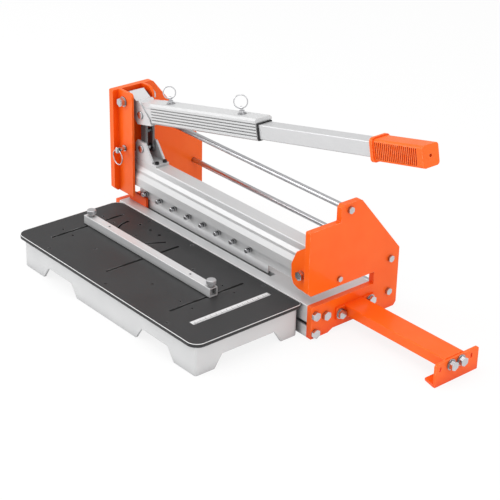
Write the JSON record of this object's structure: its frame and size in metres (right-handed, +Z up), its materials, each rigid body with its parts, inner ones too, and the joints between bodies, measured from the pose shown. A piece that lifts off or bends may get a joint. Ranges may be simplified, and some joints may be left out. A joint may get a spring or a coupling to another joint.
{
  "type": "guillotine tile cutter",
  "caption": "Bench guillotine for floor tiles and planks with a hinged blade beam, linked telescopic handle, feed table, sliding fence, ruler and outrigger foot.",
  "frame": {"origin": "on the floor, under the front edge plane of the blade slot, a little left of the base's middle", "axes": "+X along the blade towards the hinge end, +Y away from the feed table, +Z up"},
  "size_m": [0.7142, 0.382, 0.3655],
  "materials": {
    "orange_paint": "semi-gloss powder coat",
    "zinc_sheet": "satin zinc",
    "dark_steel": "grey zinc",
    "extruded_aluminium": "satin extruded",
    "tube_aluminium": "satin drawn",
    "blade_steel": "ground",
    "bright_screws": "bright zinc",
    "ring_wire": "bright",
    "black_screws": "black oxide",
    "rod_steel": "zinc plated",
    "body_plastic": "fine grain",
    "board_plastic": "satin grain",
    "black_plastic": "matte",
    "ruler_metal": "anodised",
    "grip_plastic": "ribbed soft grip",
    "knob_metal": "fluted"
  },
  "bodies": {
    "frame": {"base_extrusion": "extruded_aluminium", "cutting_strip": "black_plastic", "blade_guide": "orange_paint", "left_end_plate": "orange_paint", "right_end_plate": "orange_paint", "upper_tie_rod": "rod_steel", "middle_tie_rod": "rod_steel", "lower_tie_rod": "rod_steel", "column_front_plate": "orange_paint", "column_rear_plate": "orange_paint", "handle_pivot_bolt": "bright_screws", "hinge_ear_front": "orange_paint", "hinge_ear_rear": "orange_paint", "beam_hinge_bolt": "bright_screws", "tie_rod_screws": "bright_screws", "base_screws": "bright_screws", "outrigger_screws": "bright_screws", "hinge_ear_screw": "bright_screws", "table_body": "body_plastic", "table_board": "board_plastic", "ruler_strip": "ruler_metal", "board_screws": "black_screws", "table_clips": "bright_screws", "table_spacers": "black_plastic", "outrigger_arm": "orange_paint", "outrigger_foot": "orange_paint", "foot_screws": "bright_screws"},
    "beam": {"beam_extrusion": "extruded_aluminium", "beam_hinge_bush": "black_plastic", "blade": "blade_steel", "blade_screws": "bright_screws", "blade_screw_nuts": "bright_screws", "lift_bracket": "zinc_sheet", "bracket_screws": "black_screws", "link_lower_pin": "bright_screws"},
    "link": {"link": "dark_steel"},
    "handle": {"handle_head": "zinc_sheet", "handle_pivot_bush": "black_plastic", "link_upper_pin": "bright_screws", "handle_sleeve": "extruded_aluminium", "sleeve_collar": "black_plastic"},
    "grip_tube": {"handle_tube": "tube_aluminium", "handle_grip": "grip_plastic"},
    "inner_pin": {"inner_ring_pin": "bright_screws"},
    "inner_ring": {"inner_pull_ring": "ring_wire"},
    "outer_pin": {"outer_ring_pin": "bright_screws"},
    "outer_ring": {"outer_pull_ring": "ring_wire"},
    "lock": {"lock_pin": "bright_screws"},
    "lock_ring": {"lock_pull_ring": "ring_wire"},
    "fence": {"fence_bar": "extruded_aluminium", "fence_nuts": "bright_screws"},
    "knob_left": {"fence_knob_left": "knob_metal"},
    "knob_right": {"fence_knob_right": "knob_metal"}
  },
  "joints": [
    {"name": "handle_hinge", "type": "hinge", "parent": "frame", "child": "handle", "pos_m": [-0.2005, 0.0085, 0.235], "axis": [0, -1, 0], "range_deg": [0, 45]},
    {"name": "link_hinge", "type": "hinge", "parent": "handle", "child": "link", "pos_m": [-0.16999, 0.0085, 0.21797], "axis": [0, -1, 0], "range_deg": [-45.5, 0]},
    {"name": "beam_hinge", "type": "hinge", "parent": "frame", "child": "beam", "pos_m": [0.2416, 0.0085, 0.0992], "axis": [0, 1, 0], "range_deg": [0, 3.72]},
    {"name": "tube_slide", "type": "slide", "parent": "handle", "child": "grip_tube", "axis": [0.9781, 0, 0.2079], "range_m": [0, 0.09]},
    {"name": "inner_pin_pull", "type": "slide", "parent": "handle", "child": "inner_pin", "axis": [-0.2079, 0, 0.9781], "range_m": [0, 0.012]},
    {"name": "inner_ring_tilt", "type": "hinge", "parent": "inner_pin", "child": "inner_ring", "pos_m": [-0.10967, 0.0085, 0.26126], "axis": [0.6417, 0.7547, 0.1364], "range_deg": [-75, 75]},
    {"name": "outer_pin_pull", "type": "slide", "parent": "handle", "child": "outer_pin", "axis": [-0.2079, 0, 0.9781], "range_m": [0, 0.008]},
    {"name": "outer_ring_tilt", "type": "hinge", "parent": "outer_pin", "child": "outer_ring", "pos_m": [0.06541, 0.0085, 0.29847], "axis": [0.6417, 0.7547, 0.1364], "range_deg": [-75, 75]},
    {"name": "lock_pull", "type": "slide", "parent": "frame", "child": "lock", "axis": [0, -1, 0], "range_m": [0, 0.012]},
    {"name": "lock_ring_tilt", "type": "hinge", "parent": "lock", "child": "lock_ring", "pos_m": [-0.199, -0.0322, 0.154], "axis": [-1, 0, 0], "range_deg": [-25, 80]},
    {"name": "fence_slide", "type": "slide", "parent": "frame", "child": "fence", "axis": [0, 1, 0], "range_m": [-0.068, 0.056]},
    {"name": "left_knob_turn", "type": "hinge", "parent": "fence", "child": "knob_left", "pos_m": [-0.167, -0.109, 0.076], "axis": [0, 0, 1], "continuous": true},
    {"name": "right_knob_turn", "type": "hinge", "parent": "fence", "child": "knob_right", "pos_m": [0.142, -0.109, 0.076], "axis": [0, 0, 1], "continuous": true}
  ],
  "couplings": [
    {"joint": "link_hinge", "follows": "handle_hinge", "ratio": -1.0088},
    {"joint": "beam_hinge", "follows": "handle_hinge", "ratio": 0.0815}
  ]
}
